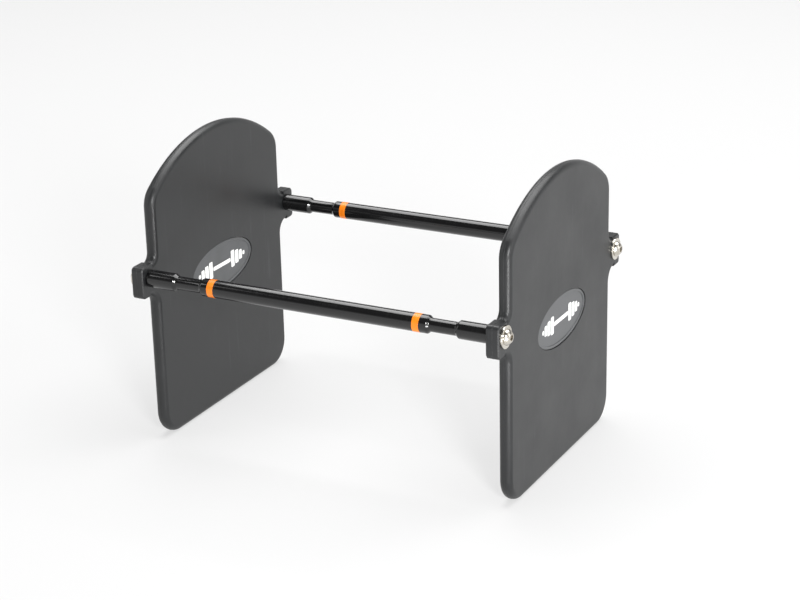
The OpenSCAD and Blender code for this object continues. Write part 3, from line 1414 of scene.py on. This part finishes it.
@dataclass
class EarHardware:
    """The button-head screws and flat washers that hold the rails to the plates' ears.

    Attributes:
        trees: The shared Geometry Nodes trees.
        washer_radius: A washer's outer radius.
        washer_bore: The radius of a washer's hole.
        washer_round: The rounding of a washer's stamped edge.
        seed: The seed of the screws' chance angles.
        thickness: A washer's thickness.
        seats: Where each ear's outer face meets its screw's axis.
        zinc: The fasteners' finish.
    """

    trees: Trees
    washer_radius: float = 7.95 * MM
    washer_bore: float = 3.45 * MM
    washer_round: float = 0.3 * MM
    seed: int = 4
    thickness: float = field(init=False)
    seats: list[Triple] = field(init=False)
    zinc: ZincPlate = field(init=False)

    def __post_init__(self) -> None:
        """Takes the washers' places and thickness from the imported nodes."""
        low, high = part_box("front_right_washer")
        self.thickness = high.x - low.x
        self.seats = []
        for side in Side:
            for end in End:
                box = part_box(f"{side.word}_{end.word}_washer")
                middle = (box[0] + box[1]) / 2
                self.seats.append((box[0].x if end is End.RIGHT else box[1].x, middle.y, middle.z))
        self.zinc = ZincPlate("bright_zinc_plate", "#dcd8d0", 0.2, *self.seats[-1][1:])

    def build(self) -> None:
        """Builds and dresses the four screws and the four washers."""
        self.repeat("flat_washers", self.washer(), "washer")
        self.repeat("button_head_screws", self.screw(), "screw")

    def repeat(self, name: str, template: bpy.types.Object, kind: str) -> None:
        """Puts a template at every ear as one piece.

        Args:
            name: The piece's name.
            template: The fastener, on the X axis with the plate's face at X = 0. It is removed.
            kind: The end of the names of the nodes that the piece stands for.
        """
        points = bpy.data.meshes.new(name)
        points.from_pydata(self.seats, [], [])
        piece = grow_by_tree(
            self.trees.hardware, name, points, Template=template, Seed=self.seed,
            Sharp_Angle=math.radians(SHARP_ANGLE), Material=self.zinc.material(),
        )
        bpy.data.objects.remove(template)
        nodes = [f"{side.word}_{end.word}_{kind}" for side in Side for end in End]
        finish_piece(piece, "fastener_steel", *nodes)

    def washer(self) -> bpy.types.Object:
        """Makes one flat washer, stamped so that its outer edges are round.

        Returns:
            The washer, on the X axis.
        """
        r, radius, thick = self.washer_round, self.washer_radius, self.thickness
        section = [
            (0.0, self.washer_bore),
            *arc((r, radius - r), r, 180, 90, 5),
            *arc((thick - r, radius - r), r, 90, 0, 5),
            (thick, self.washer_bore + r / 2),
            (thick - r / 2, self.washer_bore),
        ]
        return self.trees.turn(
            "washer_template", section, (0, 0, 0), self.zinc, closed=True, sides=72
        )

    def screw(self) -> bpy.types.Object:
        """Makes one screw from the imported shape, moved onto the X axis.

        Returns:
            The screw.
        """
        piece = copy_node(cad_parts["rear_right_screw"], "screw_template")
        piece.data.transform(Matrix.Translation(-Vector(self.seats[-1])))
        return piece


def dress(piece: bpy.types.Object, finish: Finish) -> None:
    """Gives a whole object one finish."""
    piece.data.materials.clear()
    piece.data.materials.append(finish.material())


def finish_piece(piece: bpy.types.Object, slot: str, *nodes: str) -> bpy.types.Object:
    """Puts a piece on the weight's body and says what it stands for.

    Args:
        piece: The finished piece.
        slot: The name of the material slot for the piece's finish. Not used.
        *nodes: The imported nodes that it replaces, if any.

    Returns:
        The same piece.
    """
    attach(piece, BODY)
    if nodes:
        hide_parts(*nodes)
    stands_for = ", ".join(nodes) or "no node"
    LOG.info("%s: %d faces, for %s", piece.name, len(piece.data.polygons), stands_for)
    return piece


# ------------------------------------------------------------------------- studio


@dataclass
class SoftBox:
    """A rectangular soft lamp that points at the weight.

    Attributes:
        name: The lamp's name.
        place: Where it hangs, in metres.
        size: Its width and height, in metres.
        power: Its power in watts.
        aim: The point that it faces.
        colour: Its light's colour, as sRGB hex.
    """

    name: str
    place: Triple
    size: Pair
    power: float
    aim: Triple = (0.0, 0.0, 0.1)
    colour: str = "#ffffff"

    def build(self) -> None:
        """Hangs the lamp."""
        lamp = bpy.data.lights.new(self.name, "AREA")
        lamp.shape = "RECTANGLE"
        lamp.size, lamp.size_y = self.size
        lamp.energy = self.power
        lamp.color = linear(self.colour)[:3]
        holder = bpy.data.objects.new(self.name, lamp)
        holder.location = self.place
        facing = Vector(self.aim) - Vector(self.place)
        holder.rotation_euler = facing.to_track_quat("-Z", "Y").to_euler()
        holder.visible_camera = False
        bpy.context.scene.collection.objects.link(holder)


LAMPS = (
    SoftBox("overhead_box", (0.0, 0.9, 2.3), (3.0, 2.0), 92.0),
    SoftBox("right_box", (2.2, 0.2, 1.2), (1.2, 1.6), 12.0),
    SoftBox("left_box", (-1.9, -1.2, 1.5), (0.8, 1.4), 9.0),
    SoftBox("small_flash", (1.3, -1.4, 0.85), (0.36, 0.36), 30.0),
    SoftBox("table_glint", (0.4, -0.34, 0.03), (0.13, 0.1), 1.15),
)


@dataclass
class Studio:
    """The pale floor, the soft lamps and the camera.

    Attributes:
        floor_radius: The round floor's radius in metres.
        surround: The brightness of the white surround, below and just above the horizon.
        ceiling: The brightness of the dim ceiling.
        focal_length: The lens in millimetres, on a 36 mm sensor.
        camera_place: Where the camera stands, in metres.
        turn: How far the camera is turned to the left of straight ahead, in degrees.
        tilt: How far it looks down, in degrees.
        roll: How far it leans, in degrees.
    """

    floor_radius: float = 2.6
    surround: float = 0.97
    ceiling: float = 0.16
    focal_length: float = 93.29
    camera_place: Triple = (0.66740, -1.23243, 0.62435)
    turn: float = 27.86
    tilt: float = 20.56
    roll: float = -1.37

    def build(self) -> None:
        """Builds the studio."""
        self.floor()
        self.world()
        self.camera()
        for lamp in LAMPS:
            lamp.build()

    def floor(self) -> None:
        """Lays the round paper floor under the weight."""
        ring = [(across, up, 0) for across, up in arc((0, 0), self.floor_radius, 0, 360, 96)[:-1]]
        mesh = bpy.data.meshes.new("studio_floor")
        mesh.from_pydata(ring, [], [tuple(range(len(ring)))])
        mesh.materials.append(PAPER.material())
        link_object(mesh, "studio_floor")

    def world(self) -> None:
        """Sets the light from all round: a white surround that fades into a dim ceiling."""
        world = bpy.data.worlds.new("studio_light")
        world.use_nodes = True
        tree = world.node_tree
        tree.nodes.clear()
        heading = add_node(tree, "ShaderNodeTexCoord").outputs["Generated"]
        height = add_node(tree, "ShaderNodeSeparateXYZ", i0=heading).outputs["Z"]
        fade = add_node(
            tree, "ShaderNodeMapRange", {"interpolation_type": "SMOOTHSTEP"},
            i0=height, i1=0.04, i2=0.4, i3=self.surround, i4=self.ceiling,
        ).outputs["Result"]
        glow = add_node(tree, "ShaderNodeBackground", Color=linear("#ffffff"), Strength=fade)
        add_node(tree, "ShaderNodeOutputWorld", Surface=glow.outputs[0])
        bpy.context.scene.world = world
        bpy.context.scene.view_settings.view_transform = "Standard"

    def camera(self) -> None:
        """Sets up the camera."""
        lens = bpy.data.cameras.new("camera")
        lens.lens = self.focal_length
        lens.sensor_width = 36
        lens.dof.use_dof = False
        lens.clip_start, lens.clip_end = 0.05, 100
        holder = bpy.data.objects.new("camera", lens)
        turn = Matrix.Rotation(math.radians(self.turn), 4, "Z")
        tilt = Matrix.Rotation(math.radians(90 - self.tilt), 4, "X")
        roll = Matrix.Rotation(math.radians(self.roll), 4, "Z")
        holder.matrix_world = Matrix.Translation(self.camera_place) @ turn @ tilt @ roll
        bpy.context.scene.collection.objects.link(holder)
        bpy.context.scene.camera = holder


def main() -> None:
    """Builds every sub-assembly in order."""
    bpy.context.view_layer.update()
    trees = Trees(lathe_tree(), ridge_tree(), hardware_tree())
    Studio().build()
    for end in End:
        EndPlate(end, trees).build()
        for face in Face:
            Badge(end, face).build()
    for side in Side:
        Rail(side, trees).build()
    EarHardware(trees).build()


if __name__ == "__main__":
    logging.basicConfig(level=logging.INFO, format="%(message)s")
    main()
